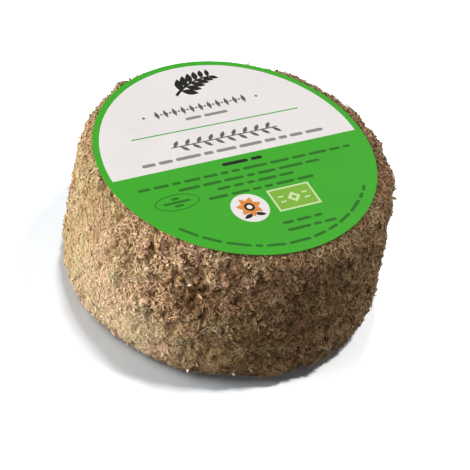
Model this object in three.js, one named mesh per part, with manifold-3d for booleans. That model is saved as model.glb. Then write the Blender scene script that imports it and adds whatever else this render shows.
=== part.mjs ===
// A small wheel of fresh goat cheese, rolled in dried herbs, with a round paper label on its top.
// Units are millimetres and +Z is up. The origin is the middle of the flat base that the wheel rests on.
// +X is the reading direction of the label, and +Y points to the label's upper edge.
import * as THREE from "three";
import { mergeVertices } from "three/addons/utils/BufferGeometryUtils.js";
import { ImprovedNoise } from "three/addons/math/ImprovedNoise.js";
import Module from "manifold-3d";

const wasm = await Module();
wasm.setup();

// The label is the size that the others are worked out from
const LABEL_RADIUS = 41;
const LABEL_THICKNESS = 0.3;
const LABEL_CENTRE = new THREE.Vector2(-1.4, 0.8);
const LABEL_SEGMENTS = 96;
const PAPER_GAP = 0.3;

// The wheel: radii of the herb crust, as shares of the label's, and its height
const TOP_RADIUS = 1.1 * LABEL_RADIUS;
const MIDDLE_RADIUS = 1.14 * LABEL_RADIUS;
const BASE_RADIUS = 1.158 * LABEL_RADIUS;
const HEIGHT = 1.12 * LABEL_RADIUS;
const TOP_CORNER = 5.4;
const BASE_CORNER = 7.4;

// The crust's mesh and its relief
const CRUST_RINGS = 19;
const CRUST_SEGMENTS = 104;
const SLUMP = { size: 26, depth: 0.5 };
const CRAG = { size: 4.6, depth: 0.9 };
const CRAG_SHIFT = 7.3;
const FLAT_EDGE = 0.06;

// Where the soft wheel swells or falls in, low on its side: a turn about Z, a height and a depth
const SWELLS = [
  { turn: 200, height: 4, depth: 1 },
  { turn: 155, height: 10, depth: -0.6 },
  { turn: 317, height: 10, depth: 0.5 },
];
const SWELL_SIZE = 12;

// Herb bits that are fused to the crust, each with its number and its least and greatest size
const LEAF = { count: 132, start: 0, length: [3.2, 5.6], width: [1.1, 1.8], depth: [0.9, 1.3], lean: 0.3 };
const STALK = { count: 44, start: 1, length: [5, 9], radius: [0.35, 0.5], arch: [0.3, 1], bend: 1 };
const STALK_SIDES = 4;
const STALK_STEPS = 2;
const CRUMB = { count: 56, start: 2, size: [1.2, 2], flatness: 0.7 };
const HERB_REACH = [0.05, 0.93];
const HERB_SEED = 20;
const GOLDEN_TURN = Math.PI * (3 - Math.sqrt(5));

const noise = new ImprovedNoise();

/** A random number between the two given, from the one seeded series. */
function between([low, high]) {
  return low + (high - low) * THREE.MathUtils.seededRandom();
}

/** The crust's section, from the flat base's edge to the flat top's: radius on x, height on y. */
function crustSection() {
  const bulge = 2 * MIDDLE_RADIUS - (BASE_RADIUS + TOP_RADIUS) / 2;
  const section = new THREE.Path();
  section.absarc(BASE_RADIUS - BASE_CORNER, BASE_CORNER, BASE_CORNER, -Math.PI / 2, 0);
  section.quadraticCurveTo(bulge, HEIGHT / 2, TOP_RADIUS, HEIGHT - TOP_CORNER);
  section.absarc(TOP_RADIUS - TOP_CORNER, HEIGHT - TOP_CORNER, TOP_CORNER, 0, Math.PI / 2);
  return section;
}
const section = crustSection();

/** The swells of the side at a point, each a round bell that fades out over its size. */
function swelling(p) {
  let depth = 0;
  for (const swell of SWELLS) {
    const turn = THREE.MathUtils.degToRad(swell.turn);
    const centre = new THREE.Vector3(Math.cos(turn), Math.sin(turn), 0).multiplyScalar(BASE_RADIUS);
    centre.z = swell.height;
    depth += swell.depth * Math.exp(-((p.distanceTo(centre) / SWELL_SIZE) ** 2));
  }
  return depth;
}

/** How far the crust stands out or falls in at a point: its swells, slow slumps and small crags of herb. */
function relief(p) {
  const slump = SLUMP.depth * noise.noise(p.x / SLUMP.size, p.y / SLUMP.size, p.z / SLUMP.size);
  const crag = CRAG.depth * noise.noise(p.x / CRAG.size, p.y / CRAG.size, p.z / CRAG.size + CRAG_SHIFT);
  return swelling(p) + slump + crag;
}

/** The crust's point, outward normal and upward tangent, at a turn about Z and a share of the section. */
function crustAt(turn, share) {
  const flat = section.getPointAt(share);
  const tangent = section.getTangentAt(share);
  const out = new THREE.Vector3(Math.cos(turn), Math.sin(turn), 0);
  const up = out.clone().multiplyScalar(tangent.x).setZ(tangent.y);
  const normal = out.clone().multiplyScalar(tangent.y).setZ(-tangent.x);
  const point = out.clone().multiplyScalar(flat.x).setZ(flat.y);
  const fade = THREE.MathUtils.smoothstep(Math.min(share, 1 - share), 0, FLAT_EDGE);
  point.addScaledVector(normal, relief(point) * fade);
  return { point, normal, up };
}

/** A closed mesh from rings of points, every other ring half a step on, with a fan at either end. */
function ringMesh(rings, bottom, top) {
  const count = rings[0].length;
  const points = [...rings.flat(), bottom, top];
  const bottomIndex = rings.length * count;
  const faces = [];
  for (let i = 0; i + 1 < rings.length; i++) {
    for (let j = 0; j < count; j++) {
      const next = (j + 1) % count;
      const [a, aNext] = [i * count + j, i * count + next];
      const [b, bNext] = [a + count, aNext + count];
      if (i % 2 === 0) faces.push(a, aNext, b, aNext, bNext, b);
      else faces.push(a, bNext, b, a, aNext, bNext);
    }
  }
  const last = (rings.length - 1) * count;
  for (let j = 0; j < count; j++) {
    const next = (j + 1) % count;
    faces.push(bottomIndex, next, j, bottomIndex + 1, last + j, last + next);
  }
  const geometry = new THREE.BufferGeometry().setFromPoints(points);
  geometry.setIndex(faces);
  return geometry;
}

/** The wheel without its herb bits: flat base, round corners, barrel side with its relief, and flat top. */
function crustGeometry() {
  const rings = [];
  for (let i = 0; i <= CRUST_RINGS; i++) {
    const ring = [];
    for (let j = 0; j < CRUST_SEGMENTS; j++) {
      const turn = ((j + (i % 2) / 2) / CRUST_SEGMENTS) * 2 * Math.PI;
      ring.push(crustAt(turn, i / CRUST_RINGS).point);
    }
    rings.push(ring);
  }
  return ringMesh(rings, new THREE.Vector3(), new THREE.Vector3(0, 0, HEIGHT));
}

/**
 * Lays a bit on the crust, its x axis along the crust at a random heading and its z axis outwards.
 * Bits of a kind follow each other round and up the side by the golden turn, so they spread evenly.
 */
function laidOnCrust(geometry, kind, index, lean = 0) {
  const share = THREE.MathUtils.lerp(...HERB_REACH, (index + 0.5) / kind.count);
  const { point, normal, up } = crustAt(kind.start + index * GOLDEN_TURN, share);
  const along = up.clone().applyAxisAngle(normal, between([0, Math.PI]));
  const across = new THREE.Vector3().crossVectors(normal, along);
  along.applyAxisAngle(across, lean);
  const out = new THREE.Vector3().crossVectors(along, across);
  return geometry.applyMatrix4(new THREE.Matrix4().makeBasis(along, across, out).setPosition(point));
}

/** A dried leaf: a pointed lens, longer than it is wide, with one tip a little off the crust. */
function leafGeometry(index) {
  const [length, width, depth] = [LEAF.length, LEAF.width, LEAF.depth].map(between);
  const leaf = new THREE.OctahedronGeometry(0.5).scale(length, width, depth);
  return laidOnCrust(leaf, LEAF, index, between([-LEAF.lean, LEAF.lean]));
}

/** A bit of stalk: a short tube whose middle arches off the crust. */
function stalkGeometry(index) {
  const [length, radius, arch] = [STALK.length, STALK.radius, STALK.arch].map(between);
  const line = new THREE.QuadraticBezierCurve3(
    new THREE.Vector3(-length / 2, 0, -arch / 2),
    new THREE.Vector3(0, between([-STALK.bend, STALK.bend]), 1.5 * arch),
    new THREE.Vector3(length / 2, 0, -arch / 2),
  );
  const round = new THREE.EllipseCurve(0, 0, radius, radius).getPoints(STALK_SIDES).slice(0, -1);
  const stalk = new THREE.ExtrudeGeometry(new THREE.Shape(round), { steps: STALK_STEPS, extrudePath: line });
  return laidOnCrust(stalk, STALK, index);
}

/** A crumb of herb: a small flattened lump. */
function crumbGeometry(index) {
  const size = between(CRUMB.size);
  const crumb = new THREE.OctahedronGeometry(size / 2).scale(1, 1, CRUMB.flatness);
  return laidOnCrust(crumb, CRUMB, index);
}

/** A three.js geometry as a solid of the boolean library. */
function solidOf(geometry) {
  const bare = geometry.clone();
  bare.deleteAttribute("normal");
  bare.deleteAttribute("uv");
  const merged = mergeVertices(bare, 1e-3);
  const mesh = new wasm.Mesh({
    numProp: 3,
    vertProperties: merged.attributes.position.array,
    triVerts: new Uint32Array(merged.index.array),
  });
  return new wasm.Manifold(mesh);
}

/** A solid of the boolean library as a three.js geometry. */
function geometryOf(solid) {
  const mesh = solid.getMesh();
  const geometry = new THREE.BufferGeometry();
  geometry.setAttribute("position", new THREE.BufferAttribute(mesh.vertProperties, 3));
  geometry.setIndex(new THREE.BufferAttribute(mesh.triVerts, 1));
  return geometry;
}

/** The largest separate body of a solid, so that a scrap that a cut leaves loose is dropped. */
function largestBody(solid) {
  return solid.decompose().reduce((kept, body) => (body.volume() > kept.volume() ? body : kept));
}

/** What no herb bit may reach: the room of the label and its gap, and all that is under the flat base. */
function keptClear() {
  const radius = LABEL_RADIUS + 2 * PAPER_GAP;
  const room = new THREE.CylinderGeometry(radius, radius, HEIGHT, LABEL_SEGMENTS)
    .rotateX(Math.PI / 2)
    .translate(LABEL_CENTRE.x, LABEL_CENTRE.y, 1.5 * HEIGHT);
  const floor = new THREE.BoxGeometry(4 * BASE_RADIUS, 4 * BASE_RADIUS, HEIGHT).translate(0, 0, -HEIGHT / 2);
  return [solidOf(room), solidOf(floor)];
}

/** The wheel with its herb bits fused on. */
function cheeseGeometry() {
  THREE.MathUtils.seededRandom(HERB_SEED);
  const bits = [];
  for (let i = 0; i < LEAF.count; i++) bits.push(leafGeometry(i));
  for (let i = 0; i < STALK.count; i++) bits.push(stalkGeometry(i));
  for (let i = 0; i < CRUMB.count; i++) bits.push(crumbGeometry(i));
  let cheese = wasm.Manifold.union([crustGeometry(), ...bits].map(solidOf));
  for (const cut of keptClear()) cheese = cheese.subtract(cut);
  return geometryOf(largestBody(cheese));
}

const herbCoat = new THREE.MeshStandardMaterial({ color: 0x9c8258, roughness: 0.95, metalness: 0 });
const printedPaper = new THREE.MeshStandardMaterial({ color: 0x49b53a, roughness: 0.45, metalness: 0 });

const cheese = new THREE.Mesh(cheeseGeometry(), herbCoat);
cheese.name = "herbed_cheese";

const disc = new THREE.CylinderGeometry(LABEL_RADIUS, LABEL_RADIUS, LABEL_THICKNESS, LABEL_SEGMENTS);
const label = new THREE.Mesh(disc.rotateX(Math.PI / 2), printedPaper);
label.name = "label";
label.position.set(LABEL_CENTRE.x, LABEL_CENTRE.y, HEIGHT + PAPER_GAP + LABEL_THICKNESS / 2);

const wheel = new THREE.Group();
wheel.add(cheese, label);

export default wheel;
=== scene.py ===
"""A wheel of goat cheese in a coat of dried herbs, with a round paper label, on a plain pale floor.

The settings are in metres and radians. MM turns this file's millimetres into metres.
"""

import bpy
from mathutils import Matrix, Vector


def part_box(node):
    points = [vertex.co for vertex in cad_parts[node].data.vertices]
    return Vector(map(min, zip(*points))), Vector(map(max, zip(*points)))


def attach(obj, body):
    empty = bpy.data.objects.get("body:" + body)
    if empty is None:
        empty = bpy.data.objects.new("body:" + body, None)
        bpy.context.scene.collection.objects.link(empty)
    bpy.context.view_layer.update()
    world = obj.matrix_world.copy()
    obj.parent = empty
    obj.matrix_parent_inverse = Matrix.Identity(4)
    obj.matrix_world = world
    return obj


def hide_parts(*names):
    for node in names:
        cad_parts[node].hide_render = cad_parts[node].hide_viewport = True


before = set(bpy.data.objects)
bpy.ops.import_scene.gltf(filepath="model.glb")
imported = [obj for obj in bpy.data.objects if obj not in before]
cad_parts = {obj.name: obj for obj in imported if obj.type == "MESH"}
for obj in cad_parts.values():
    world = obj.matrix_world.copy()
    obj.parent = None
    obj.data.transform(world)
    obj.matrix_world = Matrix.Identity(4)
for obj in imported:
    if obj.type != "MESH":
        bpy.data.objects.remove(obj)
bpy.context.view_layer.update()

import math
from typing import NamedTuple

import bpy
import numpy as np
from bpy.props import FloatProperty, FloatVectorProperty, IntProperty, PointerProperty
from mathutils import Matrix, Vector
from mathutils.geometry import delaunay_2d_cdt

bl_info = {
    "name": "Herbed Goat Cheese",
    "version": (1, 0, 0),
    "blender": (4, 5, 0),
    "location": "3D Viewport > Sidebar > Cheese",
    "description": "Makes a herb-coated wheel of goat cheese with a paper label",
    "category": "Object",
}

MM = 0.001
TURN = 2 * math.pi
LABEL_LOW, LABEL_HIGH = (np.array(corner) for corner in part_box("label"))
LABEL_RADIUS = (LABEL_HIGH[0] - LABEL_LOW[0]) / 2
LABEL_CENTRE = (LABEL_LOW + LABEL_HIGH) / 2
PALETTE_MAP = "OFBake"
FINE_DUST = "fine_dust"
LABEL_NAME = "paper_label"


def length_setting(name, description, default):
    """A length in metres."""
    return FloatProperty(name=name, description=description, default=default, unit="LENGTH")


def angle_setting(name, description, degrees):
    """An angle, given in degrees."""
    return FloatProperty(name=name, description=description, default=math.radians(degrees), subtype="ANGLE")


def colour_setting(name, description, default):
    """A colour of three numbers."""
    return FloatVectorProperty(
        name=name, description=description, default=default, min=0, max=1, subtype="COLOR")


def strength_setting(name, description, default):
    """A light's strength, as the brightness of a white surface that faces it at the wheel's place."""
    return FloatProperty(name=name, description=description, default=default, min=0)


class WheelSizes(bpy.types.PropertyGroup):
    """The cheese's own form, the same as the solid's."""

    top_radius: length_setting(
        "Top radius", "Radius of the side where the upper corner starts", 1.1 * LABEL_RADIUS)
    middle_radius: length_setting(
        "Middle radius", "Radius of the side at half its height", 1.14 * LABEL_RADIUS)
    base_radius: length_setting(
        "Base radius", "Radius of the side where the lower corner starts", 1.158 * LABEL_RADIUS)
    height: length_setting("Height", "Height of the flat top over the base", 1.12 * LABEL_RADIUS)
    top_corner: length_setting("Upper corner", "Radius of the rounding between side and top", 5.4 * MM)
    base_corner: length_setting("Lower corner", "Radius of the rounding between side and base", 7.4 * MM)
    # The gap colour is the coat's own dark colour, made darker still as painted shade in the gaps between
    # the herbs
    gap_shade_colour: colour_setting("Gap colour", "The coat deep between the herbs", (0.15, 0.08, 0.027))
    dust_colour: colour_setting("Dust colour", "The finest crumbs between the herbs", (0.4, 0.29, 0.16))


def herb_settings(name, count, length, width, thickness, lift, tilt, curl, dark, middle, light):
    """The settings of one kind of herb bit, from a row of the table below."""

    def size_range(title, what, limits):
        limits = tuple(limit * MM for limit in limits)
        return FloatVectorProperty(
            name=title, description="Least and greatest " + what, default=limits,
            unit="LENGTH", size=2, precision=5)

    fields = {
        "count": IntProperty(name="Count", description="How many bits of this kind", default=count, min=1),
        "length": size_range("Length", "length", length),
        "width": size_range("Width", "width", width),
        "thickness": size_range("Thickness", "thickness", thickness),
        "lift": size_range("Lift", "height of the middle over the crust", lift),
        "tilt": angle_setting("Tilt", "Spread of the angles at which the bits lean off the crust", tilt),
        "curl": FloatProperty(
            name="Curl", description="How far the middle arches out of line, as a share of the length",
            default=curl),
        "dark": colour_setting("Dark", "Colour of the darkest bits", dark),
        "middle": colour_setting("Middle", "Colour of the usual bits", middle),
        "light": colour_setting("Light", "Colour of the lightest bits", light),
    }
    return type("CHEESE_PG_" + name, (bpy.types.PropertyGroup,), {"__annotations__": fields})


# Count, then least and greatest length, width, thickness and lift in millimetres, then tilt in degrees and
# curl, then the dark, middle and light colours
HERB_ROWS = {
    "brown_grains": (
        24800, (0.4, 1.0), (0.34, 0.66), (0.1, 0.2), (0.0, 0.16), 14, 0.04,
        (0.18, 0.098, 0.036), (0.385, 0.268, 0.15), (0.56, 0.45, 0.33)),
    "olive_grains": (
        24800, (0.4, 1.1), (0.34, 0.64), (0.1, 0.2), (0.0, 0.18), 14, 0.04,
        (0.15, 0.105, 0.034), (0.365, 0.275, 0.14), (0.53, 0.425, 0.28)),
    "straw_strands": (
        11800, (0.9, 2.7), (0.16, 0.34), (0.1, 0.18), (0.1, 0.34), 10, 0.075,
        (0.31, 0.21, 0.1), (0.5, 0.385, 0.25), (0.74, 0.63, 0.5)),
    "bark_flakes": (
        12400, (0.7, 2.0), (0.36, 0.95), (0.1, 0.18), (0.06, 0.32), 16, 0.07,
        (0.18, 0.093, 0.04), (0.395, 0.262, 0.16), (0.6, 0.46, 0.36)),
    "leaf_flakes": (
        8500, (0.7, 2.1), (0.5, 1.35), (0.07, 0.13), (0.06, 0.34), 17, 0.1,
        (0.15, 0.1, 0.034), (0.355, 0.262, 0.138), (0.53, 0.425, 0.29)),
    "stalks": (
        280, (2.0, 4.2), (0.26, 0.44), (0.24, 0.36), (0.2, 0.45), 7, 0.05,
        (0.2, 0.12, 0.05), (0.42, 0.31, 0.185), (0.64, 0.53, 0.39)),
    "dark_specks": (
        3200, (0.4, 0.9), (0.3, 0.55), (0.25, 0.45), (0.1, 0.3), 20, 0.0,
        (0.03, 0.022, 0.008), (0.085, 0.065, 0.028), (0.19, 0.14, 0.07)),
    "broad_flakes": (
        170, (1.5, 3.0), (0.6, 1.2), (0.1, 0.2), (0.15, 0.35), 16, 0.16,
        (0.24, 0.155, 0.075), (0.38, 0.28, 0.17), (0.52, 0.41, 0.29)),
    "pale_crumbs": (
        6, (1.2, 1.7), (0.8, 1.1), (0.7, 0.9), (0.4, 0.55), 15, 0.0,
        (0.5, 0.44, 0.34), (0.72, 0.68, 0.6), (0.86, 0.84, 0.79)),
}
HERB_KINDS = {name: herb_settings(name, *row) for name, row in HERB_ROWS.items()}


class LabelLook(bpy.types.PropertyGroup):
    """The label's paper and inks."""

    thickness: length_setting("Thickness", "Thickness of the paper", 0.13 * MM)
    wave: length_setting("Wave", "How far the paper rises and falls over the herbs under it", 0.05 * MM)
    paper: colour_setting("Paper", "The unprinted paper", (0.83, 0.81, 0.825))
    green: colour_setting("Green", "The ring and the lower field", (0.05, 0.42, 0.026))
    lime: colour_setting("Lime", "The small panel, and the paper's edge", (0.22, 0.47, 0.05))
    pale: colour_setting("Pale", "The panel's border and motif", (0.62, 0.8, 0.45))
    forest: colour_setting("Forest", "Small lines on the lower field", (0.024, 0.17, 0.016))
    black: colour_setting("Black", "The sprig and the bold lines", (0.015, 0.016, 0.014))
    grey: colour_setting("Grey", "The beads and the garland", (0.12, 0.12, 0.12))
    mist: colour_setting("Mist", "Small lines on the upper field", (0.27, 0.26, 0.265))
    orange: colour_setting("Orange", "The badge's petals", (0.75, 0.26, 0.05))


class Softbox(NamedTuple):
    """A light's strength, its place as seen from the camera's side, and what it lights in which tint."""

    strength: float
    turn: float
    elevation: float
    distance: float
    size: float
    lit: str
    tint: str
    place: str


SOFTBOXES = {
    "key": Softbox(2.3, -87, 12, 0.9, 0.6, "coat", "cool", "low at the left"),
    "label_light": Softbox(0.47, -80, 60, 1.0, 0.8, "label", "cool", "high at the left"),
    "low_card": Softbox(0.92, -58, 2, 0.6, 0.3, "wheel", "cool", "at the floor, left of the camera"),
    "fill": Softbox(0.42, -40, 40, 1.0, 0.8, "wheel", "warm", "halfway up, left of the camera"),
    "rim": Softbox(1.4, 125, 25, 0.9, 1.1, "wheel", "warm", "behind the wheel, at the right"),
    "floor_right": Softbox(0.92, 110, 72, 1.0, 0.12, "floor", "plain", "over the floor, at the right"),
    "floor_back": Softbox(0.6, 202, 76, 1.0, 0.12, "floor", "cold", "over the floor, at the back"),
    "floor_left": Softbox(0.58, -70, 50, 1.2, 0.8, "floor", "cold", "halfway up, for the floor's left"),
    "floor_front": Softbox(0.08, 45, 28, 1.2, 0.6, "floor", "cold", "low in front, for the floor"),
}


class StageLook(bpy.types.PropertyGroup):
    """The floor, the lights and the camera."""

    floor_colour: colour_setting("Floor colour", "The floor as the camera sees it", (0.95, 0.95, 0.95))
    bounce_colour: colour_setting("Bounce colour", "The floor as it lights the wheel", (0.12, 0.115, 0.11))
    cool: colour_setting("Cool", "Tint of the lights at the wheel's left", (0.95, 0.985, 0.94))
    warm: colour_setting("Warm", "Tint of the other lights on the wheel", (1.0, 0.935, 0.9))
    cold: colour_setting("Cold", "Tint of most lights on the floor", (0.87, 0.94, 1.0))
    plain: colour_setting("Plain", "Tint of the light over the floor's right", (1.0, 1.0, 1.0))
    ambience: strength_setting("Ambience", "Strength of the light from all round", 0.05)
    azimuth: angle_setting("Azimuth", "The camera's turn about the wheel's axis", -35.7)
    elevation: angle_setting("Elevation", "How steeply the camera looks down", 42.56)
    roll: angle_setting("Roll", "How far the camera leans to its left", 12.73)
    distance: length_setting("Distance", "From the camera to the wheel's middle", 12.5 * LABEL_RADIUS)


def title_of(name):
    """A name with capital and spaces."""
    return name.replace("_", " ").capitalize()


# Each softbox adds its strength to the stage's settings
StageLook.__annotations__.update({
    name: strength_setting(title_of(name), "Strength of the softbox " + box.place, box.strength)
    for name, box in SOFTBOXES.items()
})


# Numbers and noise


HASH_PRIMES, HASH_SEED = (374761393, 668265263, 2147483647), 144665
HASH_STEPS = ((13, 1274126177), (16, 2654435761))
LOW_BITS, HALF_RANGE = np.uint64(0xFFFFFFFF), 2.0**31
SLUMP_SEED, CRAG_SEED, CRUMB_SEED, CLUMP_SEED, TONE_SEED, HUE_SEED, WAVE_SEED, PIT_SEED = range(1, 9)


def cell_value(cell, seed):
    """A number from -1 to 1 for each cell: its indices times primes, mixed by shifts and products."""
    primes = np.array(HASH_PRIMES, np.uint64)
    mixed = (cell.astype(np.int64).astype(np.uint64) * primes).sum(-1) + np.uint64(seed * HASH_SEED)
    for shift, factor in HASH_STEPS:
        mixed = ((mixed ^ (mixed >> np.uint64(shift))) & LOW_BITS) * np.uint64(factor)
    return (mixed & LOW_BITS) / HALF_RANGE - 1


def smooth_noise(points, size, seed):
    """Slow noise from -1 to 1: the values at a cell's eight corners, mixed by eased shares."""
    place = points / size
    cell = np.floor(place)
    share = eased(place - cell)
    total = np.zeros(points.shape[:-1])
    for corner in np.ndindex(2, 2, 2):
        weight = np.where(corner, share, 1 - share).prod(-1)
        total += weight * cell_value(cell + corner, seed)
    return total


def unit(vectors):
    """Each vector over its own length."""
    return vectors / np.linalg.norm(vectors, axis=-1, keepdims=True)


def eased(share):
    """A share held between 0 and 1, and eased in and out by t*t*(3 - 2t)."""
    held = np.clip(share, 0, 1)
    return held * held * (3 - 2 * held)


# The crust's form

SECTION_POINTS = 60
# Turn in degrees, height, and how far the swell stands out in millimetres
SWELLS = [
    (203, 4, -0.5), (155, 10, -0.6), (285, 5, 0.4), (317, 10, 0.3), (319, 30, -0.7), (340, 43, 0.5),
    (8, 43, 1.2), (38, 43, 0.5), (127, 43, 0.7), (172, 38, 0.5), (150, 28, 0.5),
]
SWELL_SIZE = 12 * MM
SLUMP_SIZE, SLUMP_DEPTH = 26 * MM, 0.45 * MM
CRAG_SIZE, CRAG_DEPTH = 4.8 * MM, 0.75 * MM
CLUMP_SIZE, CLUMP_DEPTH = 2.2 * MM, 0.54 * MM
PIT_SIZE, PIT_DEPTH = 1.9 * MM, 1.0 * MM
PIT_START, PIT_EASE = 0.3, 0.4
CRUMB_SIZE, CRUMB_DEPTH = 1.3 * MM, 0.22 * MM
COAT_DEPTH = 0.4 * MM
# Turn in degrees, height and reach in millimetres, and how much coarser the coat is
ZONES = [
    (184, 20, 30, -0.75), (211, 8, 14, -0.6), (240, 8, 16, -0.4), (224, 34, 15, 1.0), (212, 44, 10, 0.4),
]
COARSE_RELIEF = 0.5
FADE_WIDTH = 4 * MM
NEAR_STEP = 0.4 * MM
STEEPEST = 0.5


def crust_section(sizes):
    """Points (radius, height) from base to top: a line, an arc, a quadratic side, an arc and a line."""
    t = np.linspace(0, 1, SECTION_POINTS)[:, None]
    low, high = sizes.base_corner, sizes.top_corner
    angle = t * math.pi / 2
    lower = np.hstack([np.sin(angle), -np.cos(angle)]) * low + [sizes.base_radius - low, low]
    upper = np.hstack([np.cos(angle), np.sin(angle)]) * high
    upper += [sizes.top_radius - high, sizes.height - high]
    bulge = [2 * sizes.middle_radius - (sizes.base_radius + sizes.top_radius) / 2, sizes.height / 2]
    side = (1 - t) ** 2 * lower[-1] + 2 * t * (1 - t) * np.array(bulge) + t**2 * upper[0]
    base = t * lower[0]
    top = upper[-1] * (1 - t) + t * np.array([0, sizes.height])
    return np.vstack([base[:-1], lower, side[1:-1], upper, top[1:]])


class Crust:
    """The crust as a surface of two parameters: the turn about Z, and the length along the section."""

    def __init__(self, sizes):
        self.points = crust_section(sizes)
        steps = np.linalg.norm(np.diff(self.points, axis=0), axis=1)
        self.length = np.concatenate([[0], np.cumsum(steps)])
        self.slope = unit(np.gradient(self.points, self.length, axis=0))
        self.base_edge = self.length[SECTION_POINTS - 1]
        self.top_edge = self.length[-SECTION_POINTS]
        self.widest = self.points[:, 0].max()

    def rough(self, points, fine=False):
        """Noise in two sizes less pits, with finer noise if asked, stronger where the coat is coarse."""
        depth = CRAG_DEPTH * smooth_noise(points, CRAG_SIZE, CRAG_SEED)
        depth += CLUMP_DEPTH * smooth_noise(points, CLUMP_SIZE, CLUMP_SEED)
        depth -= PIT_DEPTH * eased((smooth_noise(points, PIT_SIZE, PIT_SEED) - PIT_START) / PIT_EASE)
        if fine:
            depth += CRUMB_DEPTH * smooth_noise(points, CRUMB_SIZE, CRUMB_SEED)
        return depth * (1 + COARSE_RELIEF * self.coarseness(points))

    def relief(self, points, fine):
        """The roughness with slow noise and the swells."""
        depth = SLUMP_DEPTH * smooth_noise(points, SLUMP_SIZE, SLUMP_SEED) + self.rough(points, fine)
        for turn, height, swell in SWELLS:
            depth += swell * MM * self.near(points, turn, height, SWELL_SIZE)
        return depth

    def near(self, points, turn, height, size):
        """How near points are to a place on the side: exp(-(distance / size) squared)."""
        angle = math.radians(turn)
        centre = [math.cos(angle) * self.widest, math.sin(angle) * self.widest, height * MM]
        return np.exp(-((np.linalg.norm(points - centre, axis=-1) / size) ** 2))

    def coarseness(self, points):
        """From -1, where the coat is fine and lies flat and even, to 1, where it is large loose bits."""
        return sum(
            weight * self.near(points, turn, height, reach * MM) for turn, height, reach, weight in ZONES)

    def length_at(self, height):
        """The length along the section at a height of the side, which rises steadily."""
        return np.interp(height, self.points[SECTION_POINTS:-1, 1], self.length[SECTION_POINTS:-1])

    def even(self, turn, length):
        """Point and outward normal of the smooth section, at this turn and length."""
        radius, height = (np.interp(length, self.length, self.points[:, i]) for i in (0, 1))
        run, rise = (np.interp(length, self.length, self.slope[:, i]) for i in (0, 1))
        cos, sin = np.cos(turn), np.sin(turn)
        point = np.stack([radius * cos, radius * sin, height + 0 * cos], -1)
        return point, unit(np.stack([rise * cos, rise * sin, -run + 0 * cos], -1))

    def at(self, turn, length, fine=False):
        """The smooth point, moved out by the relief, which fades at base and top, and in by the coat."""
        point, normal = self.even(turn, length)
        inside = np.minimum(length - self.base_edge, self.top_edge - length) / FADE_WIDTH
        depth = self.relief(point, fine) * eased(inside) - COAT_DEPTH
        return point + normal * depth[..., None]

    def frame_at(self, turn, length):
        """Point, normal and upward tangent with the relief, from a short step round and a short step up."""
        point = self.at(turn, length)
        _, normal = self.even(turn, length)
        radius = np.maximum(np.linalg.norm(point[..., :2], axis=-1), NEAR_STEP)
        round_way = self.at(turn + NEAR_STEP / radius, length) - point
        up = self.at(turn, length + NEAR_STEP) - point
        tilted = unit(np.cross(round_way, up))
        usable = (tilted * normal).sum(-1, keepdims=True) > STEEPEST
        return point, np.where(usable, tilted, normal), unit(up)


# Meshes


def new_piece(name, vertices, faces, materials, uv=None, slots=None, smooth=False):
    """A mesh object at the origin, of triangles or quads, with a uv pair a corner and a slot a face."""
    mesh = bpy.data.meshes.new(name)
    corners = faces.shape[1]
    mesh.vertices.add(len(vertices))
    mesh.vertices.foreach_set("co", vertices.astype(np.float32).ravel())
    mesh.loops.add(faces.size)
    mesh.loops.foreach_set("vertex_index", faces.astype(np.int32).ravel())
    mesh.polygons.add(len(faces))
    mesh.polygons.foreach_set("loop_start", np.arange(0, faces.size, corners, dtype=np.int32))
    mesh.polygons.foreach_set("use_smooth", np.full(len(faces), smooth))
    for material in materials:
        mesh.materials.append(material)
    if slots is not None:
        mesh.polygons.foreach_set("material_index", slots.astype(np.int32))
    mesh.update(calc_edges=True)
    if uv is not None:
        layer = mesh.uv_layers.new(name=PALETTE_MAP)
        layer.uv.foreach_set("vector", uv.astype(np.float32).ravel())
    if mesh.validate():
        raise RuntimeError(f"{name} has faces that aren't valid")
    piece = bpy.data.objects.new(name, mesh)
    bpy.context.scene.collection.objects.link(piece)
    return piece


def dress(piece, slot, *nodes):
    """The piece rides on the root body and stands for these nodes. The slot is not used."""
    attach(piece, "root")
    if nodes:
        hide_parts(*nodes)


def tube_faces(rings, sides):
    """A closed tube's triangles: a fan at either tip, and two a side from each ring to the next."""
    j = np.arange(sides)
    after = np.roll(j, -1)
    first, last = 1 + j, 1 + (rings - 1) * sides + j
    tip = 1 + rings * sides
    fans = [np.stack([first[after], first, 0 * j], -1), np.stack([last, last[after], 0 * j + tip], -1)]
    ring = 1 + np.arange(rings - 1)[:, None] * sides
    a, b, c, d = ring + j, ring + after, ring + sides + after, ring + sides + j
    walls = [np.stack(corners, -1).reshape(-1, 3) for corners in ((a, b, c), (a, c, d))]
    return np.vstack(fans + walls)


CORE_TURNS, CORE_RINGS = 460, 196
CORE_REACH = 5 * MM
CORE_FLAT_RINGS = 0.06
CORE_HUB = 0.02


def core_mesh(crust):
    """The crust at even turns, with rings close together on the side, and a point at either centre."""
    low, high = crust.base_edge - CORE_REACH, crust.top_edge + CORE_REACH
    edges = [CORE_HUB * low, low, high, crust.length[-1] - CORE_HUB * low]
    share = np.linspace(0, 1, CORE_RINGS)
    length = np.interp(share, [0, CORE_FLAT_RINGS, 1 - CORE_FLAT_RINGS, 1], edges)
    turn = np.arange(CORE_TURNS) / CORE_TURNS * TURN
    grid = crust.at(*np.meshgrid(turn, length), fine=True)
    bottom, top = crust.at(np.zeros(2), np.array([0, crust.length[-1]]))
    vertices = np.vstack([[bottom], grid.reshape(-1, 3), [top]])
    faces = tube_faces(CORE_RINGS, CORE_TURNS)
    place = np.concatenate([[0], np.repeat(length / crust.length[-1], CORE_TURNS), [1]])
    column = np.concatenate([[0], np.tile(np.arange(CORE_TURNS), CORE_RINGS), [0]])[faces]
    greatest = column.max(1, keepdims=True)
    column = np.where((column == 0) & (greatest > 1), CORE_TURNS, column)
    pole = (faces == 0) | (faces == len(vertices) - 1)
    column = np.where(pole, column.max(1, keepdims=True), column)
    return vertices, faces, np.stack([column / CORE_TURNS, place[faces]], -1)


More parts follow.
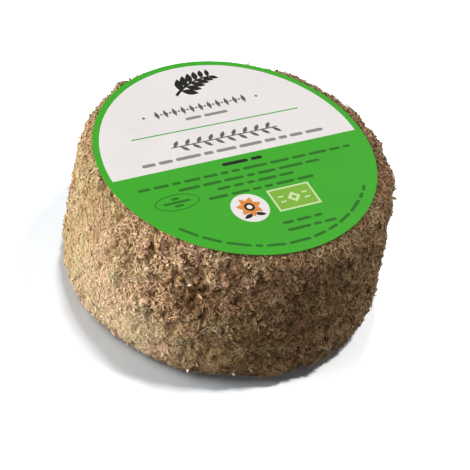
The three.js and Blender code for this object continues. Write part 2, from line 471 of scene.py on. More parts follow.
# Herb bits

RINGS = {
    "straw_strands": 2, "bark_flakes": 2, "leaf_flakes": 2,
    "stalks": 5, "broad_flakes": 4, "pale_crumbs": 5,
}
SIDES = {"stalks": 5, "broad_flakes": 6, "pale_crumbs": 8}
# Turn in degrees and height in millimetres of the bits that lie at a known place
SEEN = {
    "broad_flakes": [
        (219.9, 41.8), (223.6, 38), (233, 38.4), (217.5, 44.5), (216.2, 30.7), (211, 25.3), (230.6, 32.2),
    ],
    "pale_crumbs": [(226.9, 36), (248.9, 4), (232.6, 4), (40, 22), (98, 12), (305, 8)],
}
SEEN_TONE = 0.8
BASE_SHARE = 0.55
BLUNT, TAPER = 0.12, 0.35
TWIST, TWIST_ALONG = 0.15, 0.25
WIDTH_BY_LENGTH, WIDTH_POWER = 0.6, 1.5
LEAN_LIFT = 0.3
UNDER_LABEL = 5 * MM
SHAKE = 0.5 * MM
EVEN_TURN, EVEN_LENGTH, EVEN_START = 0.7548776662, 0.5698402910, 977
# The last of these darkens bits in the relief's hollows as painted shade, and pales them on its crests as
# painted light
TONE_SPREAD, TONE_DRIFT, TONE_PATCH, RELIEF_SHADE_TONE = 0.115, 0.16, 3.0 * MM, 0.14
HUE_SPREAD, HUE_DRIFT, HUE_PATCH, HUES = 0.08, 0.65, 5 * MM, 7
COARSE_LEAN, COARSE_SPREAD, COARSE_SIZE = 0.5, 0.5, 0.28
# Turn in degrees, height and reach in millimetres, and how much paler and redder the bits are. Some are the
# coat's own patches of tone and hue. The paler ones at turns 192, 214 and 240, low at the left and under
# the label's front, are painted light. The darker ones at turns 275, 302 and 112, on the shaded right and
# on the back where the key light falls full on, are painted shade.
TONE_HUE_AND_LIGHT_PATCHES = [
    (192, 12, 18, 0.35, -0.1), (214, 10, 13, 0.4, -0.05), (229, 31, 6, -0.35, 0.3),
    (226, 24, 14, -0.14, 0.05), (246, 13, 9, -0.15, -0.3), (216, 40, 12, 0.05, 0.35),
    (262, 41, 11, 0, 0.35), (158, 35, 12, 0.08, 0.12), (112, 22, 32, -0.35, 0),
    (50, 24, 25, -0.05, 0.2), (240, 42, 10, 0.14, 0.3), (275, 26, 17, -0.18, 0.05),
    (302, 26, 15, -0.12, 0), (234, 38, 8, -0.1, 0.1),
]
PALETTE_EDGE, PALETTE_WIDTH = 0.02, 0.004
FLOOR_REST, LABEL_REST = 0.3 * MM, 0.25 * MM


def even_places(crust, count, start, rng):
    """Turns and lengths spread evenly by area: shares that grow by two irrational steps, and are shaken."""
    index = np.arange(count) + start
    end = crust.top_edge + UNDER_LABEL
    line = np.linspace(0, end, 4 * SECTION_POINTS)
    radius = np.interp(line, crust.length, crust.points[:, 0])
    weight = np.cumsum(radius * np.where(line < crust.base_edge, BASE_SHARE, 1))
    length = np.interp(index * EVEN_LENGTH % 1 * weight[-1], weight, line)
    aside, along = rng.normal(0, SHAKE, (2, count))
    turn = index * EVEN_TURN % 1 * TURN + aside / np.maximum(np.interp(length, line, radius), SHAKE)
    return turn, np.clip(np.abs(length + along), 0, end)


def held_above(height, floor, room):
    """Heights under floor + room are squeezed towards the floor by an exponential, so none goes through."""
    over = (height - floor) / room - 1
    return np.where(over < 0, floor + room * np.exp(np.minimum(over, 0)), height)


def kept_clear(vertices):
    """Vertices held above the floor, and below the label where they lie under it."""
    height = held_above(vertices[..., 2], 0, FLOOR_REST)
    under = np.linalg.norm(vertices[..., :2] - LABEL_CENTRE[:2], axis=-1) < LABEL_RADIUS + LABEL_REST
    lowered = -held_above(-height, -LABEL_LOW[2], LABEL_REST)
    vertices[..., 2] = np.where(under, lowered, height)
    return vertices


def bit_axes(normal, up, heading, lean):
    """Directions along, across and out of each bit: its heading, leaned off the crust about its width."""
    side = unit(np.cross(normal, up))
    up = np.cross(side, normal)
    along = up * np.cos(heading) + side * np.sin(heading)
    out = normal * np.cos(lean) - along * np.sin(lean)
    return along * np.cos(lean) + normal * np.sin(lean), np.cross(normal, along), out


def bit_surface(middle, axes, sizes, curl, t, sides, rng):
    """A section of few sides carried along a bent line, with a point at either tip.

    The line is t*length along, plus curl*(1 - (2t - 1) squared) outwards and sideways. The section is an
    ellipse of the width and thickness, times sin(pi*t) to the power TAPER, and turns a little on the way.
    """
    along, across, out = axes
    long, wide, thick = sizes
    count = len(middle)
    arch = 1 - (2 * t - 1) ** 2
    rise = rng.normal(0, curl, (count, 1)) * long
    sway = rng.normal(0, curl, (count, 1)) * long
    line = (middle[:, None] + along[:, None] * ((t - 0.5) * long)[..., None]
            + out[:, None] * (arch * rise)[..., None] + across[:, None] * (arch * sway)[..., None])
    twist = rng.normal(0, TWIST, (count, 1)) + rng.normal(0, TWIST_ALONG, (count, 1)) * (t - 0.5)
    angle = np.arange(sides) / sides * TURN
    taper = (np.sin(math.pi * t[1:-1]) ** TAPER)[None, :, None]
    flat = np.cos(angle) * taper * wide[..., None] / 2
    deep = np.sin(angle) * taper * thick[..., None] / 2
    cos, sin = np.cos(twist)[:, 1:-1, None], np.sin(twist)[:, 1:-1, None]
    ring = (line[:, 1:-1, None]
            + across[:, None, None] * (flat * cos - deep * sin)[..., None]
            + out[:, None, None] * (flat * sin + deep * cos)[..., None])
    return np.concatenate([line[:, :1], ring.reshape(count, -1, 3), line[:, -1:]], axis=1)


def palette_places(crust, point, middle, coarse, t, sides, seen, rng):
    """A u and v for each vertex: u is the bit's tone, and v its hue's row and the place along it.

    Tone and hue are random, plus slow noise and patches, some of them painted light and shade. Bits in the
    relief's hollows are darker, as painted shade, and on its crests paler, as painted light.
    """
    count = len(middle)
    tone = rng.normal(0, TONE_SPREAD, count) + TONE_DRIFT * smooth_noise(middle, TONE_PATCH, TONE_SEED)
    # Painted shade in the relief's hollows and painted light on its crests
    tone = 0.5 + (tone + RELIEF_SHADE_TONE * crust.rough(point) / MM) * (1 + COARSE_SPREAD * coarse)
    hue = 0.5 + rng.normal(0, HUE_SPREAD, count) + HUE_DRIFT * smooth_noise(middle, HUE_PATCH, HUE_SEED)
    # Some patches pale the bits as painted light, some darken them as painted shade, and the others give
    # the coat's own tone and hue
    for turn, height, reach, paler, redder in TONE_HUE_AND_LIGHT_PATCHES:
        nearness = crust.near(middle, turn, height, reach * MM)
        tone += paler * nearness
        hue += redder * nearness
    tone[: len(seen)] = SEEN_TONE
    row = np.round(np.clip(hue, 0, 1) * (HUES - 1))[:, None]
    steps = np.concatenate([[0], np.tile(np.cos(np.arange(sides) / sides * TURN), len(t) - 2), [0]])
    u = np.clip(tone, PALETTE_EDGE, 1 - PALETTE_EDGE)[:, None] + PALETTE_WIDTH * steps
    place = np.concatenate([t[:1], np.repeat(t[1:-1], sides), t[-1:]])
    v = (row + PALETTE_EDGE + place * (1 - 2 * PALETTE_EDGE)) / HUES + 0 * u
    return np.stack([u, v], -1).reshape(-1, 2)


def herb_mesh(crust, kind, rings, sides, seed, seen):
    """The bits of one kind, laid on the crust at random headings, the first ones at the places in seen."""
    rng = np.random.default_rng(seed)
    count = kind.count
    turn, length = even_places(crust, count, seed * EVEN_START, rng)
    if seen:
        places = np.array(seen)
        turn[: len(seen)] = np.radians(places[:, 0])
        length[: len(seen)] = crust.length_at(places[:, 1] * MM)
    point, normal, up = crust.frame_at(turn, length)
    coarse = crust.coarseness(point)

    def drawn(limits, share):
        return limits[0] + (limits[1] - limits[0]) * share

    size, breadth, depth = rng.uniform(0, 1, (3, count, 1))
    scale = 1 + COARSE_SIZE * coarse[:, None]
    broad = (WIDTH_BY_LENGTH * size + (1 - WIDTH_BY_LENGTH) * breadth) ** WIDTH_POWER
    long, wide = drawn(kind.length, size**2) * scale, drawn(kind.width, broad) * scale
    heading = rng.uniform(0, TURN, (count, 1))
    lean = rng.normal(0, kind.tilt, (count, 1)) * (1 + COARSE_LEAN * coarse[:, None])
    axes = bit_axes(normal, up, heading, lean)
    middle = point + normal * (drawn(kind.lift, depth) + np.abs(np.sin(lean)) * long * LEAN_LIFT)
    t = np.concatenate([[0], np.linspace(BLUNT, 1 - BLUNT, rings) if rings > 1 else [0.5], [1]])
    bit_sizes = (long, wide, drawn(kind.thickness, size))
    vertices = kept_clear(bit_surface(middle, axes, bit_sizes, kind.curl, t, sides, rng))
    uv = palette_places(crust, point, middle, coarse, t, sides, seen, rng)
    faces = tube_faces(rings, sides) + (np.arange(count) * vertices.shape[1])[:, None, None]
    faces = faces.reshape(-1, 3)
    return vertices.reshape(-1, 3), faces, uv[faces]


# Materials


def node(tree, kind, links=None, values=None, **settings):
    """A new shader node, with its settings, values for its sockets, and links into them."""
    made = tree.nodes.new(kind)
    for name, value in settings.items():
        setattr(made, name, value)
    for name, value in (values or {}).items():
        made.inputs[name].default_value = value
    for name, source in (links or {}).items():
        tree.links.new(source, made.inputs[name])
    return made


def solid_colour(colour):
    """A colour of three numbers as four."""
    return (*colour, 1)


def new_group(name, inputs, outputs):
    """An empty node group with these sockets, its inputs as name: (kind, default), and its two ends."""
    group = bpy.data.node_groups.new(name, "ShaderNodeTree")
    for title, (kind, default) in inputs.items():
        socket = group.interface.new_socket(title, in_out="INPUT", socket_type=kind)
        socket.default_value = default
    for title, kind in outputs.items():
        group.interface.new_socket(title, in_out="OUTPUT", socket_type=kind)
    return group, group.nodes.new("NodeGroupInput"), group.nodes.new("NodeGroupOutput")


def feed(tree, made, values):
    """Gives a node's inputs, by their index, each a socket to read or a plain value."""
    for index, value in values:
        if isinstance(value, bpy.types.NodeSocket):
            tree.links.new(value, made.inputs[index])
        else:
            made.inputs[index].default_value = value


def mix(tree, factor, a, b, blend="MIX"):
    """A colour mix whose factor and colours are each a socket or a plain value."""
    made = node(tree, "ShaderNodeMix", data_type="RGBA", blend_type=blend)
    feed(tree, made, ((0, factor), (6, a), (7, b)))
    return made.outputs[2]


def maths(tree, operation, *values):
    """One step of arithmetic, on sockets or plain numbers."""
    made = node(tree, "ShaderNodeMath", operation=operation)
    feed(tree, made, enumerate(values))
    return made.outputs[0]


def noise(tree, place, scale, detail=2):
    """A noise texture's value at a place."""
    made = node(tree, "ShaderNodeTexNoise", {"Vector": place}, {"Scale": scale, "Detail": detail})
    return made.outputs["Fac"]


def stretch(tree, value, low, high, to_low=0.0, to_high=1.0):
    """A value from low to high as one from to_low to to_high, held inside."""
    made = node(tree, "ShaderNodeMapRange", {"Value": value},
                {"From Min": low, "From Max": high, "To Min": to_low, "To Max": to_high})
    return made.outputs["Result"]


COLOUR, NUMBER = "NodeSocketColor", "NodeSocketFloat"
WHITE = (1, 1, 1, 1)
# Most values of a noise texture lie in the first of these ranges
NOISE_RANGE, PRINT_RANGE, DUST_RANGE = (0.3, 0.7), (0.15, 0.4), (0.4, 0.65)
OLIVE_TINT, RUSSET_TINT = (0.975, 1.03, 0.92, 1), (1.12, 0.93, 0.92, 1)
FIBRE_SCALE = (150, 2.2 * HUES, 1)
FIBRE_DARK, FIBRE_PALE, FIBRE_AMOUNT = (0.6, 0.57, 0.55, 1), (1.3, 1.28, 1.24, 1), 0.4
CUT_START, CUT_AMOUNT = 0.3, 0.25
PAPER_FIBRES, PRINT_CLOUDS, PRINT_SHADE, PRINT_AMOUNT = 1400, 90, (0.84, 0.84, 0.84, 1), 0.35
PAPER_ROUGHNESS = (0.48, 0.62)
DUST_PATCHES, DUST_SPECKS, DUST_THIN = 420, 1500, 0.3


def herb_palette():
    """A bit's colour from its map: tone across, hue rows up, and fibres and paler cut ends along it."""
    shades = {title: (COLOUR, WHITE) for title in ("Dark", "Middle", "Light")}
    group, start, end = new_group("Herb palette", {**shades, "Fibre": (NUMBER, 0.3)}, {"Color": COLOUR})
    dark, middle, light, fibre = (start.outputs[title] for title in (*shades, "Fibre"))
    place = node(group, "ShaderNodeUVMap", uv_map=PALETTE_MAP).outputs[0]
    split = node(group, "ShaderNodeSeparateXYZ", {"Vector": place}).outputs
    darker = mix(group, stretch(group, split["X"], 0.0, 0.5), dark, middle)
    toned = mix(group, stretch(group, split["X"], 0.5, 1.0), darker, light)
    rows = maths(group, "MULTIPLY", split["Y"], HUES)
    tint = mix(group, stretch(group, maths(group, "FLOOR", rows), 0, HUES - 1), OLIVE_TINT, RUSSET_TINT)
    tinted = mix(group, 1.0, toned, tint, "MULTIPLY")
    scaled = node(group, "ShaderNodeMapping", {"Vector": place}, {"Scale": FIBRE_SCALE}).outputs[0]
    streak = stretch(group, noise(group, scaled, 1), *NOISE_RANGE)
    shade = mix(group, streak, FIBRE_DARK, FIBRE_PALE)
    streaked = mix(group, fibre, tinted, mix(group, 1.0, tinted, shade, "MULTIPLY"))
    from_middle = maths(group, "SUBTRACT", maths(group, "FRACT", rows), 0.5)
    cut = stretch(group, maths(group, "ABSOLUTE", from_middle), CUT_START, 0.5, 0.0, CUT_AMOUNT)
    group.links.new(mix(group, cut, streaked, light), end.inputs["Color"])
    return group


def paper_grain():
    """Ink or paper with fine fibres and a faintly uneven print: its colour, its roughness and a height."""
    inputs = {"Ink": (COLOUR, WHITE), "Unevenness": (NUMBER, 0.1)}
    outputs = {"Color": COLOUR, "Roughness": NUMBER, "Height": NUMBER}
    group, start, end = new_group("Paper grain", inputs, outputs)
    ink, unevenness = start.outputs["Ink"], start.outputs["Unevenness"]
    place = node(group, "ShaderNodeTexCoord").outputs["Object"]
    fibres = noise(group, place, PAPER_FIBRES, 3)
    cloud = noise(group, place, PRINT_CLOUDS)
    both = stretch(group, maths(group, "MULTIPLY", fibres, cloud), *PRINT_RANGE)
    shaded = mix(group, 1.0, ink, PRINT_SHADE, "MULTIPLY")
    printed = mix(group, maths(group, "MULTIPLY", both, unevenness), ink, shaded)
    group.links.new(printed, end.inputs["Color"])
    group.links.new(stretch(group, cloud, *NOISE_RANGE, *PAPER_ROUGHNESS), end.inputs["Roughness"])
    group.links.new(fibres, end.inputs["Height"])
    return group


def grouped(tree, name, maker, values):
    """A node group, built the first time it is asked for, placed in a material with its own values."""
    group = bpy.data.node_groups.get(name) or maker()
    made = node(tree, "ShaderNodeGroup", node_tree=group)
    for title, value in values.items():
        made.inputs[title].default_value = value
    return made


def new_material(name, **constants):
    """A material, its node tree and its Principled shader, whose constants are set on its own sockets."""
    material = bpy.data.materials.new(name)
    material.use_nodes = True
    shader = material.node_tree.nodes["Principled BSDF"]
    for title, value in constants.items():
        shader.inputs[title.replace("_", " ")].default_value = value
    return material, material.node_tree, shader


def herb_material(name, kind):
    """Dried herb: fully matt, with its colour from the palette map."""
    material, tree, shader = new_material(name, Roughness=0.88, Specular_IOR_Level=0.22)
    colours = {title: solid_colour(getattr(kind, title.lower())) for title in ("Dark", "Middle", "Light")}
    palette = grouped(tree, "Herb palette", herb_palette, {**colours, "Fibre": FIBRE_AMOUNT})
    tree.links.new(palette.outputs["Color"], shader.inputs["Base Color"])
    return material


def crust_material(sizes):
    """The ground between the herbs: gaps dark in their own colour and darker still with painted shade, with
    paler dust in patches and fine speckle.
    """
    material, tree, shader = new_material("Herb ground", Roughness=0.95, Specular_IOR_Level=0.15)
    place = node(tree, "ShaderNodeTexCoord").outputs["Object"]
    patch = stretch(tree, noise(tree, place, DUST_PATCHES, 4), *DUST_RANGE)
    specks = node(tree, "ShaderNodeTexVoronoi", {"Vector": place}, {"Scale": DUST_SPECKS})
    thinned = stretch(tree, specks.outputs["Distance"], 0.0, 0.5, 1, DUST_THIN)
    dusty = maths(tree, "MULTIPLY", patch, thinned)
    fine = node(tree, "ShaderNodeAttribute", attribute_name=FINE_DUST).outputs["Fac"]
    either = maths(tree, "MAXIMUM", dusty, fine)
    # The dark gap colour includes painted shade
    colour = mix(tree, either, solid_colour(sizes.gap_shade_colour), solid_colour(sizes.dust_colour))
    tree.links.new(colour, shader.inputs["Base Color"])
    return material


def ink_material(name, colour):
    """Coated paper printed with one ink, satin, with faint fibres."""
    material, tree, shader = new_material(name, Specular_IOR_Level=0.25)
    values = {"Ink": solid_colour(colour), "Unevenness": PRINT_AMOUNT}
    grain = grouped(tree, "Paper grain", paper_grain, values).outputs
    tree.links.new(grain["Color"], shader.inputs["Base Color"])
    tree.links.new(grain["Roughness"], shader.inputs["Roughness"])
    relief = {"Strength": 0.06, "Distance": 0.01 * MM}
    bump = node(tree, "ShaderNodeBump", {"Height": grain["Height"]}, relief)
    tree.links.new(bump.outputs["Normal"], shader.inputs["Normal"])
    return material


# The label's print, in shares of its radius, with x along its lines and y to its upper edge

RIM_STEPS = 192
RIM_WIDTH = 0.046
FIELD_EDGE = -0.027
PAPER_STEP = 0.045
CURVE_STEPS, CAP_STEPS = 9, 5
PETALS = 7
WAVE_SIZE = 11 * MM
WORD_GAP, WORD_LENGTHS, MOST_WORDS = 0.022, (2.0, 7.5), 40


def turned(points, angle):
    """Points turned about the origin."""
    cos, sin = math.cos(angle), math.sin(angle)
    return points @ np.array([[cos, sin], [-sin, cos]])


def oval(x, y, across, high, steps=32):
    """An ellipse: its two half-sizes times the cosine and the sine of even angles."""
    angle = np.arange(steps) / steps * TURN
    return np.stack([across * np.cos(angle), high * np.sin(angle)], -1) + [x, y]


def bar(start, end, y, height):
    """A level bar whose ends are half circles."""
    angle = np.linspace(-math.pi / 2, math.pi / 2, CAP_STEPS)
    cap = np.stack([np.cos(angle), np.sin(angle)], -1) * height / 2
    return np.vstack([cap + [end - height / 2, y], -cap + [start + height / 2, y]])


def leaf(x, y, length, width, angle):
    """A pointed leaf: half its width times sin(pi*t) to either side of a line, turned about its root."""
    t = np.linspace(0, 1, CURVE_STEPS)[:, None]
    side = width / 2 * np.sin(math.pi * t)
    outline = np.vstack([np.hstack([t * length, -side]), np.hstack([t * length, side])[-2:0:-1]])
    return turned(outline, angle) + [x, y]


def stem(start, end, bend, width):
    """A stem: start + t*(end - start), pushed sideways by bend*4t(1 - t), its width falling by half."""
    t = np.linspace(0, 1, CURVE_STEPS)[:, None]
    run = np.subtract(end, start)
    sideways = np.array([-run[1], run[0]]) / np.hypot(*run)
    line = np.array(start) + t * run + sideways * bend * 4 * t * (1 - t)
    half = sideways * width / 2 * (1 - t / 2)
    return np.vstack([line - half, (line + half)[::-1]])


def bent(outline, radius):
    """An outline drawn along the arc of this radius at the label's bottom, with x as the length on it."""
    angle = outline[:, 0] / radius - math.pi / 2
    return np.stack([np.cos(angle), np.sin(angle)], -1) * (radius - outline[:, 1:])


def word_bars(ink, start, end, y, height, seed):
    """Bars of seeded lengths that fill a line as words do, each with its ink."""
    lengths = np.random.default_rng(seed).uniform(*WORD_LENGTHS, MOST_WORDS) * height
    stops = start + np.cumsum(lengths + WORD_GAP)
    starts = np.concatenate([[start], stops[stops < end - 2 * height]])
    ends = np.minimum(starts + lengths[: len(starts)], end)
    return inked(ink, [bar(*both, y, height) for both in zip(starts, ends)])


def inked(ink, outlines):
    """Each outline with its ink."""
    return [(ink, outline) for outline in outlines]


def beads(start, end, y, height, count):
    """A row of upright lozenges with dots between them."""
    lozenge = oval(0, 0, 0.2 * height, 0.5 * height, 4)
    dot = oval(0, 0, 0.1 * height, 0.1 * height, 10)
    places = np.linspace(start, end, 2 * count - 1)
    return [(dot if i % 2 else lozenge) + [x, y] for i, x in enumerate(places)]


def garland(start, end, y, height, count):
    """A thin level stem with slim leaves that slant forward above it and below it by turns."""
    places = np.linspace(start, end - 0.4 * height, count)
    slant = math.radians(48)
    leaves = [leaf(x, y, 0.68 * height, 0.26 * height, slant * (-1) ** i) for i, x in enumerate(places)]
    return [bar(start - 0.2 * height, end, y, 0.09 * height)] + leaves


def sprig(x, y, length):
    """A herb sprig that lies across: a bent stem, with pairs of leaves that grow shorter to its tip."""
    root, tip = (x - length / 2, y - 0.25 * length), (x + length / 2, y + 0.15 * length)
    outlines = [stem(root, tip, 0.1 * length, 0.024)]
    for t in np.linspace(0.16, 0.94, 6):
        root = (x + (t - 0.5) * length, y + (0.4 * t - 0.25) * length + 0.4 * t * (1 - t) * length)
        size = length * (0.42 - 0.2 * t)
        outlines += [leaf(*root, size, 0.46 * size, 0.45 + side) for side in (0.9, -0.9)]
    return outlines


def label_print():
    """The print as pairs of an ink and an outline, in printing order: a later one covers an earlier one."""
    inner = 1 - RIM_WIDTH
    edge = math.asin(FIELD_EDGE / inner)
    angle = np.linspace(edge, math.pi - edge, RIM_STEPS // 2)
    field = np.stack([np.cos(angle), np.sin(angle)], -1) * inner
    rule = turned(bar(-0.66, 0.66, 0.312, 0.011), -0.011)
    shapes = [("green", oval(0, 0, 1, 1, RIM_STEPS)), ("paper", field), ("green", rule)]
    shapes += inked("black", sprig(x=0.03, y=0.755, length=0.34))
    shapes += inked("grey", beads(start=-0.37, end=0.32, y=0.512, height=0.09, count=11))
    shapes += inked("grey", [oval(x, 0.51, 0.011, 0.011, 12) for x in (-0.475, 0.425)])
    shapes += word_bars("mist", -0.19, 0.17, 0.418, 0.026, 1)
    shapes += inked("grey", garland(start=-0.4, end=0.42, y=0.168, height=0.115, count=18))
    shapes += word_bars("mist", -0.7, 0.728, 0.05, 0.03, 2)
    shapes += word_bars("black", -0.158, 0.158, -0.09, 0.03, 9)
    lines = [(-0.832, 0.832, -0.165), (-0.56, 0.6, -0.235), (-0.3, 0.3, -0.3), (-0.4, 0.42, -0.37)]
    for seed, line in enumerate(lines, 20):
        shapes += word_bars("forest", *line, 0.026, seed)
    shapes += small_oval(-0.62, -0.335) + badge(-0.165, -0.53) + panel(0.018, -0.626, 0.327, 0.213)
    for seed, y in enumerate((-0.73, -0.8), 30):
        shapes += word_bars("forest", -0.02, 0.36, y, 0.026, seed)
    last = word_bars("forest", -0.83, 0.88, 0, 0.024, 40)
    return shapes + [(ink, bent(outline, 0.915)) for ink, outline in last]


def small_oval(x, y):
    """An oval drawn as a thin line, with short bars inside."""
    shapes = [("forest", oval(x, y, 0.165, 0.075)), ("green", oval(x, y, 0.157, 0.067))]
    rows = [(0.03, 0.034), (0.1, 0.0), (0.035, -0.034)]
    return shapes + inked("forest", [bar(x - half, x + half, y + rise, 0.022) for half, rise in rows])


def badge(x, y):
    """A white disc that holds a flower: pointed petals about a dark ring, over two short dark leaves."""
    shapes = [("paper", oval(x, y, 0.135, 0.135, 48))]
    shapes += inked("black", [leaf(x, y - 0.055, 0.09, 0.034, side) for side in (-0.35, math.pi + 0.35)])
    angles = (np.arange(PETALS) + 0.25) / PETALS * TURN
    shapes += inked("orange", [leaf(x, y + 0.01, 0.095, 0.05, angle) for angle in angles])
    return shapes + [("black", oval(x, y + 0.01, 0.038, 0.038)), ("paper", oval(x, y + 0.01, 0.02, 0.02))]


def panel(x, y, width, height):
    """A panel with a pale border, and inside it a pale lozenge between bars."""
    square = np.array([(0, 0), (1, 0), (1, 1), (0, 1)])
    line = 0.014
    shapes = [("pale", square * [width, height] + [x, y])]
    shapes.append(("lime", square * [width - 2 * line, height - 2 * line] + [x + line, y + line]))
    middle = (x + width / 2, y + height / 2)
    shapes += [(ink, oval(*middle, size, size, 4)) for ink, size in (("pale", 0.05), ("lime", 0.022))]
    for rise, side in ((0.025, 1), (-0.025, 1), (0.025, -1), (-0.025, -1)):
        ends = sorted((middle[0] + side * 0.07, middle[0] + side * 0.115))
        shapes.append(("pale", bar(*ends, middle[1] + rise, 0.013)))
    return shapes


INKS = ("paper", "green", "lime", "pale", "forest", "black", "grey", "mist", "orange")
KEEP_INSIDE, MERGE_DISTANCE, EDGE_DISTANCE = 1, 1e-6, 1e-4


def label_mesh(look):
    """The outlines cut a disc into triangles, each of the last ink over it. It gets a back and a rim.

    The height is the label's top, less a wave of smooth noise. The back lies a paper's thickness lower.
    """
    shapes = label_print()
    outlines = [outline for _, outline in shapes]
    ends = np.cumsum([len(outline) for outline in outlines])
    steps = np.arange(-1, 1, PAPER_STEP)
    sheet = np.stack(np.meshgrid(steps, steps), -1).reshape(-1, 2)
    sheet = sheet[np.linalg.norm(sheet, axis=1) < 1 - PAPER_STEP / 2]
    points = np.vstack(outlines + [sheet])
    loops = [list(range(end - len(outline), end)) for outline, end in zip(outlines, ends)]
    cut = delaunay_2d_cdt([Vector(point) for point in points], [], loops, KEEP_INSIDE, MERGE_DISTANCE)
    flat, _, triangles, _, _, covering = cut
    flat = np.array([tuple(point) for point in flat])
    triangles = np.array(triangles)
    slots = np.array([INKS.index(shapes[max(over)][0]) for over in covering])

    place = flat * LABEL_RADIUS + LABEL_CENTRE[:2]
    wave = smooth_noise(np.column_stack([place, 0 * place[:, 0]]), WAVE_SIZE, WAVE_SEED)
    height = LABEL_HIGH[2] + look.wave * (wave - 1)
    front = np.column_stack([place, height])
    back = np.column_stack([place, height - look.thickness])
    count = len(flat)
    edge = rim_order(flat)
    after = np.roll(edge, -1)
    walls = [(edge, edge + count, after + count), (edge, after + count, after)]
    rim = np.vstack([np.stack(wall, -1) for wall in walls])
    faces = np.vstack([triangles, triangles[:, ::-1] + count, rim])
    paper = np.repeat([INKS.index("paper"), INKS.index("lime")], [len(triangles), len(rim)])
    uv = np.tile(flat / 2 + 0.5, (2, 1))[faces]
    return np.vstack([front, back]), faces, uv, np.concatenate([slots, paper])


def rim_order(flat):
    """The points on the disc's edge, in order of their angle."""
    edge = np.flatnonzero(np.linalg.norm(flat, axis=1) > 1 - EDGE_DISTANCE)
    return edge[np.argsort(np.arctan2(flat[edge, 1], flat[edge, 0]))]


# Stage

MIDDLE = Vector((0, 0, 0.5 * LABEL_RADIUS))
LENS, SENSOR, CLIP_START = 133.45, 36, 0.01
SHIFT = (0.01726, -0.03414)
FLOOR_HALF = 3.0
FLOOR_DROP = 0.05 * MM
FLOOR_CLOUDS, FLOOR_SHADE = 3, 0.98


def from_camera(look, turn, elevation):
    """The direction to a place that stands this far round from the camera, in degrees, and this high."""
    angle, high = look.azimuth + math.radians(turn), math.radians(elevation)
    return Vector((math.sin(angle) * math.cos(high), -math.cos(angle) * math.cos(high), math.sin(high)))


def softbox(look, name, receivers):
    """A square light that faces the wheel. A white surface there gets power / (pi*distance) squared."""
    box = SOFTBOXES[name]
    direction = from_camera(look, box.turn, box.elevation)
    lamp = bpy.data.lights.new(name, "AREA")
    lamp.shape = "SQUARE"
    lamp.size = box.size
    lamp.color = getattr(look, box.tint)
    lamp.energy = getattr(look, name) * (math.pi * box.distance) ** 2
    light = bpy.data.objects.new(name, lamp)
    light.location = MIDDLE + direction * box.distance
    light.rotation_euler = direction.to_track_quat("Z", "Y").to_euler()
    light.light_linking.receiver_collection = receivers
    light.visible_camera = False
    bpy.context.scene.collection.objects.link(light)


def floor_material(look):
    """A pale matt floor that sends less light back up than the camera sees."""
    material, tree, shader = new_material("Studio floor", Roughness=0.9, Specular_IOR_Level=0.0)
    place = node(tree, "ShaderNodeTexCoord").outputs["Object"]
    clouds = noise(tree, place, FLOOR_CLOUDS)
    darker = [FLOOR_SHADE * part for part in look.floor_colour]
    seen = mix(tree, clouds, solid_colour(look.floor_colour), solid_colour(darker))
    camera = node(tree, "ShaderNodeLightPath").outputs["Is Camera Ray"]
    tree.links.new(mix(tree, camera, solid_colour(look.bounce_colour), seen), shader.inputs["Base Color"])
    return material


def studio_world(look):
    """White to the camera, and a dim even light for all else."""
    world = bpy.data.worlds.new("Studio")
    world.use_nodes = True
    tree = world.node_tree
    camera = node(tree, "ShaderNodeLightPath").outputs["Is Camera Ray"]
    strength = stretch(tree, camera, 0, 1, look.ambience, 1.0)
    tree.links.new(strength, tree.nodes["Background"].inputs["Strength"])
    colour = mix(tree, camera, solid_colour(look.warm), WHITE)
    tree.links.new(colour, tree.nodes["Background"].inputs["Color"])
    bpy.context.scene.world = world


def aim_camera(look):
    """The camera looks at the wheel's middle, leans by the roll, and keeps a small shift."""
    right = Vector((math.cos(look.azimuth), math.sin(look.azimuth), 0))
    back = from_camera(look, 0, math.degrees(look.elevation))
    upright = back.cross(right)
    cos, sin = math.cos(look.roll), math.sin(look.roll)
    axes = Matrix((cos * right + sin * upright, cos * upright - sin * right, back)).transposed()
    camera = bpy.data.objects.new("camera", bpy.data.cameras.new("camera"))
    camera.matrix_world = Matrix.Translation(MIDDLE + back * look.distance) @ axes.to_4x4()
    camera.data.lens = LENS
    camera.data.sensor_width = SENSOR
    camera.data.shift_x, camera.data.shift_y = SHIFT
    camera.data.clip_start = CLIP_START
    bpy.context.scene.collection.objects.link(camera)
    bpy.context.scene.camera = camera


def collection_of(name, pieces):
    """A collection that only says which pieces a light reaches."""
    group = bpy.data.collections.new(name)
    for piece in pieces:
        group.objects.link(piece)
    return group


# Operators


class CHEESE_OT_wheel(bpy.types.Operator):
    """Make the ground of the herb coat, which all herb bits lie on"""

    bl_idname = "cheese.wheel"
    bl_label = "Make Wheel"

    def execute(self, context):
        sizes = context.scene.cheese_wheel
        crust = Crust(sizes)
        vertices, faces, uv = core_mesh(crust)
        ground = new_piece("herb_ground", vertices, faces, [crust_material(sizes)], uv, smooth=True)
        dust = ground.data.attributes.new(FINE_DUST, "FLOAT", "POINT")
        dust.data.foreach_set("value", np.clip(-crust.coarseness(vertices), 0, 1).astype(np.float32))
        dress(ground, "herb_crust", "herbed_cheese")
        return {"FINISHED"}


class CHEESE_OT_herbs(bpy.types.Operator):
    """Scatter every kind of dried herb bit over the coat"""

    bl_idname = "cheese.herbs"
    bl_label = "Scatter Herbs"

    def execute(self, context):
        crust = Crust(context.scene.cheese_wheel)
        for seed, name in enumerate(HERB_KINDS, 1):
            kind = getattr(context.scene, "cheese_" + name)
            seen = SEEN.get(name, [])
            vertices, faces, uv = herb_mesh(crust, kind, RINGS.get(name, 1), SIDES.get(name, 4), seed, seen)
            bits = new_piece(name, vertices, faces, [herb_material(title_of(name), kind)], uv)
            dress(bits, "herb_crust")
        return {"FINISHED"}


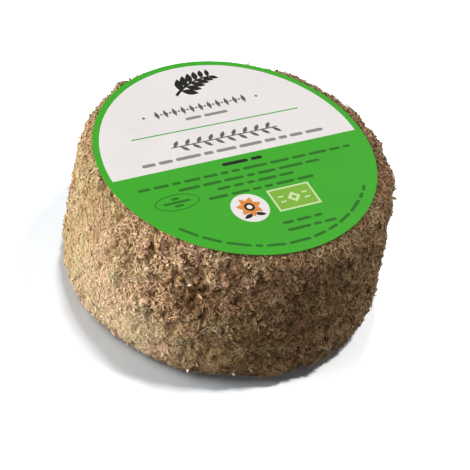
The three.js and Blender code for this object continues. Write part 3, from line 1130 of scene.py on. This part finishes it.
class CHEESE_OT_label(bpy.types.Operator):
    """Make the round paper label with its print"""

    bl_idname = "cheese.label"
    bl_label = "Make Label"

    def execute(self, context):
        look = context.scene.cheese_label
        vertices, faces, uv, slots = label_mesh(look)
        inks = [ink_material("Label " + ink, getattr(look, ink)) for ink in INKS]
        label = new_piece(LABEL_NAME, vertices, faces, inks, uv, slots)
        dress(label, "printed_paper", "label")
        return {"FINISHED"}


class CHEESE_OT_stage(bpy.types.Operator):
    """Set up the floor, the studio light and the camera"""

    bl_idname = "cheese.stage"
    bl_label = "Set Stage"

    def execute(self, context):
        look = context.scene.cheese_stage
        corners = np.array([(-1, -1, 0), (1, -1, 0), (1, 1, 0), (-1, 1, 0)]) * FLOOR_HALF
        shown = [piece for piece in bpy.data.objects if piece.type == "MESH" and not piece.hide_render]
        quad = np.array([[0, 1, 2, 3]])
        floor = new_piece("floor", corners - [0, 0, FLOOR_DROP], quad, [floor_material(look)])
        label = [piece for piece in shown if piece.name == LABEL_NAME]
        coat = [piece for piece in shown if piece.name != LABEL_NAME]
        lit = {"wheel": shown, "floor": [floor], "coat": coat, "label": label}
        receivers = {name: collection_of("lit " + name, pieces) for name, pieces in lit.items()}
        for name, box in SOFTBOXES.items():
            softbox(look, name, receivers[box.lit])
        studio_world(look)
        aim_camera(look)
        context.scene.view_settings.view_transform = "Standard"
        return {"FINISHED"}


class CHEESE_PT_sidebar(bpy.types.Panel):
    """The cheese's settings and its steps"""

    bl_idname = "CHEESE_PT_sidebar"
    bl_label = "Herbed Goat Cheese"
    bl_space_type = "VIEW_3D"
    bl_region_type = "UI"
    bl_category = "Cheese"

    def draw(self, context):
        steps = {
            "cheese.wheel": ["cheese_wheel"],
            "cheese.herbs": ["cheese_" + name for name in HERB_KINDS],
            "cheese.label": ["cheese_label"],
            "cheese.stage": ["cheese_stage"],
        }
        for step, groups in steps.items():
            box = self.layout.box()
            for group in groups:
                settings = getattr(context.scene, group)
                for setting in settings.__annotations__:
                    box.prop(settings, setting)
            box.operator(step)


SETTINGS = {"cheese_wheel": WheelSizes, "cheese_label": LabelLook, "cheese_stage": StageLook}
SETTINGS.update({"cheese_" + name: kind for name, kind in HERB_KINDS.items()})
OPERATORS = (CHEESE_OT_wheel, CHEESE_OT_herbs, CHEESE_OT_label, CHEESE_OT_stage)
CLASSES = (*SETTINGS.values(), *OPERATORS, CHEESE_PT_sidebar)


def register():
    for kind in CLASSES:
        bpy.utils.register_class(kind)
    for name, kind in SETTINGS.items():
        setattr(bpy.types.Scene, name, PointerProperty(type=kind))


def unregister():
    for name in SETTINGS:
        delattr(bpy.types.Scene, name)
    for kind in reversed(CLASSES):
        bpy.utils.unregister_class(kind)


def main():
    register()
    bpy.ops.cheese.wheel()
    bpy.ops.cheese.herbs()
    bpy.ops.cheese.label()
    bpy.ops.cheese.stage()


if __name__ == "__main__":
    main()
